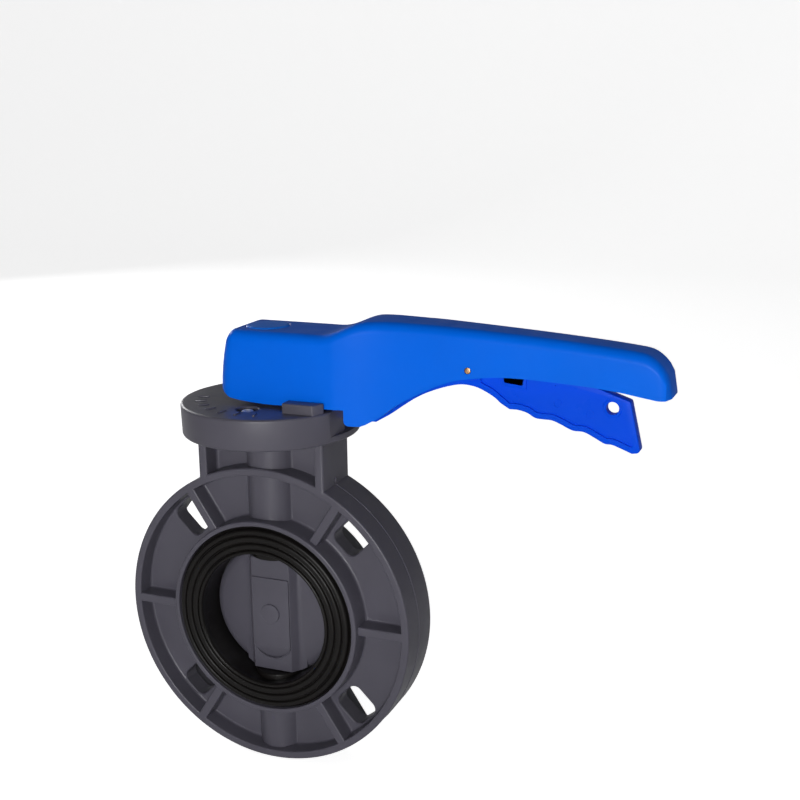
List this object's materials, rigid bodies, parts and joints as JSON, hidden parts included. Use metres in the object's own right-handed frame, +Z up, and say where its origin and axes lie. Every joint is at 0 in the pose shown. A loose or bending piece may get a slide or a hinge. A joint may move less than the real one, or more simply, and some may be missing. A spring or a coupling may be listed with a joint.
{
  "type": "butterfly valve",
  "caption": "Wafer butterfly valve with a ribbed round body, rubber liner, centric disc, notched index plate and a long lever handle with a squeeze trigger.",
  "frame": {"origin": "centre of the bore, where the stem's axis crosses the middle plane of the body", "axes": "+Z up the stem towards the handle, +X along the handle when the valve is shut, +Y along the pipe from the front face to the back face"},
  "size_m": [0.3356, 0.1076, 0.282],
  "materials": {
    "grey_pvc": "satin moulded grey PVC-U",
    "black_rubber": "matt black EPDM",
    "white_acetal": "smooth turned plastic",
    "steel": "turned stainless steel",
    "blue_abs": "fine grained bright blue ABS",
    "deep_blue_abs": "smooth deeper blue ABS",
    "brass": "drawn wire and turned pin"
  },
  "bodies": {
    "valve_body": {"body": "grey_pvc", "index_plate": "grey_pvc", "liner": "black_rubber", "upper_bush": "white_acetal", "lower_bush": "white_acetal", "thrust_washer": "steel", "upper_seal_1": "black_rubber", "upper_seal_2": "black_rubber", "lower_seal": "black_rubber", "plate_screw_1": "steel", "plate_screw_2": "steel", "plate_screw_3": "steel"},
    "operator": {"stem": "steel", "stem_clip": "steel", "disc": "grey_pvc", "handle_shell": "blue_abs", "handle_cap": "blue_abs", "handle_washer": "steel", "handle_screw": "steel", "pivot_pin": "brass", "trigger_spring": "brass"},
    "trigger_lever": {"trigger": "deep_blue_abs"}
  },
  "joints": [
    {"name": "handle_turn", "type": "hinge", "parent": "valve_body", "child": "operator", "pos_m": [0, 0, 0], "axis": [0, 0, 1], "range_deg": [0, 90]},
    {"name": "trigger_squeeze", "type": "hinge", "parent": "operator", "child": "trigger_lever", "pos_m": [0.13, 0, 0.1632], "axis": [0, -1, 0], "range_deg": [0, 8.5], "stiffness_Nm_per_rad": 0.75, "springref_deg": -6.88, "deforming": ["trigger_spring"]}
  ]
}
